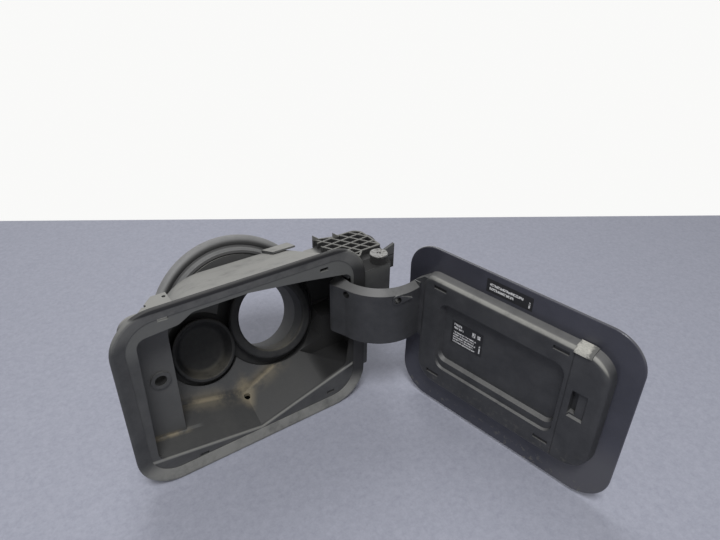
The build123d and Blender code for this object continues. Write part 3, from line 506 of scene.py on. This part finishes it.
# Corner buffer: pale felt-like pad stuck to the carrier's upper free corner, where it takes
# the knock of the closing door. It is darker towards its ends.
felt_dark, felt_light = (0.35, 0.345, 0.315), (0.57, 0.56, 0.51)
felt_end_dark = (0.13, 0.13, 0.125)
clean_middle, smudge_reach = -0.1798, 0.006
buffer_finish, tree, shader = new_finish("buffer_foam")
shader.inputs["Roughness"].default_value = 0.85
place = tree.nodes.new("ShaderNodeTexCoord")
fibres = add_noise(tree, place, scale=1100.0, detail=4.0, rough=0.7)
felt = add_ramp(tree, fibres, ((0.3, felt_dark), (0.7, felt_light)))
along = add_vector_math(tree, "DOT_PRODUCT", place.outputs["Object"], along_door)
smudge = add_math(tree, "SUBTRACT", add_noise(tree, place, scale=420.0, detail=3.0, rough=0.6), 0.5)
smudge = multiply(tree, smudge, smudge_reach)
off_middle = add_math(tree, "ADD", apart(tree, along, clean_middle), smudge)
ends = add_band(tree, off_middle, 0.0032, 0.0056)
tree.links.new(add_mix(tree, ends, felt, felt_end_dark), shader.inputs["Base Color"])
add_bump(tree, shader, fibres, 0.0002)
paint_node("corner_buffer", buffer_finish)


# Labels: two black printed foils, one glued to the door skin above the carrier and one in
# the carrier's tray. Their print is plain broken bars, with no letters.
foil_dark, foil_light = (0.008, 0.008, 0.009), (0.016, 0.016, 0.018)
print_white = (0.75, 0.75, 0.75)
print_gaps = (34.0, 9.0, 1.0)


def label_finish(name, lines):
    """Black foil with pale print, each line of it a box on the foil's own map."""
    finish, tree, shader = new_finish(name)
    shader.inputs["Roughness"].default_value = 0.42
    place = tree.nodes.new("ShaderNodeTexCoord")
    sheet_x, sheet_y, _ = split_axes(tree, place.outputs["UV"])
    boxes = [
        multiply(
            tree,
            add_math(tree, "GREATER_THAN", sheet_x, left),
            add_math(tree, "LESS_THAN", sheet_x, right),
            add_math(tree, "GREATER_THAN", sheet_y, low),
            add_math(tree, "LESS_THAN", sheet_y, high),
        )
        for left, right, low, high in lines
    ]
    stretch = tree.nodes.new("ShaderNodeMapping")
    stretch.inputs["Scale"].default_value = print_gaps
    tree.links.new(place.outputs["UV"], stretch.inputs["Vector"])
    gaps = tree.nodes.new("ShaderNodeTexNoise")
    gaps.inputs["Scale"].default_value = 1.0
    gaps.inputs["Detail"].default_value = 1.0
    tree.links.new(stretch.outputs["Vector"], gaps.inputs["Vector"])
    broken = gaps.outputs["Fac"]
    ink = multiply(tree, largest(tree, *boxes), add_band(tree, broken, 0.62, 0.5))
    foil = add_ramp(tree, broken, ((0.3, foil_dark), (0.7, foil_light)))
    tree.links.new(add_mix(tree, ink, foil, print_white), shader.inputs["Base Color"])
    return finish


foil_thickness, glue = 0.00012, 0.00005
swing_open = (
    Matrix.Translation((hinge_x, hinge_y, 0))
    @ Matrix.Rotation(swing, 4, "Z")
    @ Matrix.Translation((-hinge_x, -hinge_y, 0))
)


def stick_label(name, left, right, low, high, seat, crown, lines):
    """Lays a foil on the closed door's inner side, then swings it open with the door."""
    bm = bmesh.new()
    bmesh.ops.create_grid(bm, x_segments=10, y_segments=4, size=0.5, calc_uvs=True)
    flat_map = bm.loops.layers.uv.verify()
    for face in bm.faces:
        for loop in face.loops:
            loop[flat_map].uv = (0.5 - loop.vert.co.x, loop.vert.co.y + 0.5)
    for vert in bm.verts:
        x = (left + right) / 2 + vert.co.x * (right - left)
        z = (low + high) / 2 + vert.co.y * (high - low)
        vert.co = Vector((x, seat + crown * z * z + glue, z))
    bmesh.ops.recalc_face_normals(bm, faces=bm.faces)
    if bm.faces[:][0].normal.y < 0:
        bmesh.ops.reverse_faces(bm, faces=bm.faces)
    bmesh.ops.solidify(bm, geom=bm.faces[:], thickness=-foil_thickness)
    bmesh.ops.recalc_face_normals(bm, faces=bm.faces)
    bmesh.ops.transform(bm, matrix=swing_open, verts=bm.verts)
    mesh = bpy.data.meshes.new(name)
    bm.to_mesh(mesh)
    bm.free()
    piece = bpy.data.objects.new(name, mesh)
    bpy.context.collection.objects.link(piece)
    mesh.materials.append(label_finish(name + "_print", lines))
    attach(piece, "door")


skin_seat, tray_seat = -0.0036, 0.0005
skin_crown, flat = 0.25, 0.0
skin_lines = [(0.07, 0.8, 0.52, 0.72), (0.07, 0.6, 0.2, 0.4), (0.92, 0.95, 0.15, 0.6)]
tray_lines = [
    (0.07, 0.32, 0.82, 0.92),
    (0.07, 0.38, 0.68, 0.77),
    (0.66, 0.76, 0.7, 0.9),
    (0.82, 0.92, 0.72, 0.88),
    (0.91, 0.95, 0.12, 0.5),
]
for row in range(5):
    row_end, row_low = 0.8 - 0.06 * (row % 2), 0.5 - 0.11 * row
    tray_lines.append((0.07, row_end, row_low, row_low + 0.06))
stick_label(
    "skin_label", left=-0.014, right=0.0225, low=0.056, high=0.0665,
    seat=skin_seat, crown=skin_crown, lines=skin_lines,
)
stick_label(
    "tray_label", left=0.017, right=0.045, low=0.0, high=0.020,
    seat=tray_seat, crown=flat, lines=tray_lines,
)


# Floor: a plain pale blue-grey sheet with a faint weave. It ends behind the part, with the
# white room beyond it.
floor_level, floor_end, floor_front, floor_half_width = -0.0752, 0.3915, -2.0, 2.5
into_view = Vector((0.5345, 0.8452, 0.0)).normalized()
across_view = Vector((into_view.y, -into_view.x, 0.0))
bm = bmesh.new()
bmesh.ops.create_grid(bm, x_segments=1, y_segments=1, size=1.0)
for vert in bm.verts:
    away = into_view * (floor_end if vert.co.y > 0 else floor_front)
    vert.co = across_view * (vert.co.x * floor_half_width) + away + Vector((0, 0, floor_level))
bmesh.ops.recalc_face_normals(bm, faces=bm.faces)
floor_mesh = bpy.data.meshes.new("floor")
bm.to_mesh(floor_mesh)
bm.free()
floor = bpy.data.objects.new("floor", floor_mesh)
bpy.context.collection.objects.link(floor)
sheet_dark, sheet_light = (0.31, 0.322, 0.395), (0.41, 0.422, 0.5)
floor_finish, tree, shader = new_finish("floor_sheet")
shader.inputs["Roughness"].default_value = 0.7
place = tree.nodes.new("ShaderNodeTexCoord")
weave = add_noise(tree, place, scale=260.0, detail=8.0, rough=0.75)
tree.links.new(
    add_ramp(tree, weave, ((0.3, sheet_dark), (0.7, sheet_light))), shader.inputs["Base Color"]
)
floor_mesh.materials.append(floor_finish)


# Light: a bright white room that fills the shadows a little, one soft lamp over the front
# left and a broad one behind the part.
fill_level, seen_level = 0.15, 0.95
world = bpy.data.worlds.new("room")
bpy.context.scene.world = world
world.use_nodes = True
tree = world.node_tree
room = tree.nodes["Background"]
room.inputs["Color"].default_value = (1.0, 1.0, 0.99, 1.0)
paths = tree.nodes.new("ShaderNodeLightPath").outputs
seen = add_math(tree, "ADD", paths["Is Camera Ray"], paths["Is Glossy Ray"])
seen = add_math(tree, "ADD", seen, paths["Is Transmission Ray"], clamp=True)
tree.links.new(add_range(tree, seen, fill_level, seen_level), room.inputs["Strength"])


def hang_lamp(name, where, aim, size, watts):
    """A square soft lamp turned to a point."""
    lamp = bpy.data.lights.new(name, "AREA")
    lamp.size = size
    lamp.energy = watts
    holder = bpy.data.objects.new(name, lamp)
    holder.location = where
    holder.rotation_euler = (Vector(aim) - Vector(where)).to_track_quat("-Z", "Y").to_euler()
    bpy.context.collection.objects.link(holder)


hang_lamp("key_lamp", (-0.35, -0.6, 1.25), (0.05, -0.02, 0.0), size=0.45, watts=14.0)
hang_lamp("rear_lamp", (0.3, 0.9, 1.2), (0.05, 0.02, 0.0), size=0.9, watts=7.5)


# Camera: standing over the part and looking down on it, with the hinge to the right. Its
# place, turn and lens were solved from the mouth's and the door's outlines.
eye = (-0.12865, -0.30911, 0.28199)
forward = Vector((0.49212, 0.69769, -0.52063)).normalized()
upward = Vector((0.28804, 0.43387, 0.85369))
upward = (upward - forward * upward.dot(forward)).normalized()
turn = Matrix((forward.cross(upward), upward, -forward)).transposed()
camera_data = bpy.data.cameras.new("photo_view")
camera_data.sensor_width = 36.0
camera_data.lens = 29.253
camera_data.clip_start = 0.01
camera_data.clip_end = 50.0
camera = bpy.data.objects.new("photo_view", camera_data)
camera.matrix_world = Matrix.Translation(eye) @ turn.to_4x4()
bpy.context.collection.objects.link(camera)
bpy.context.scene.camera = camera
bpy.context.scene.view_settings.view_transform = "Standard"
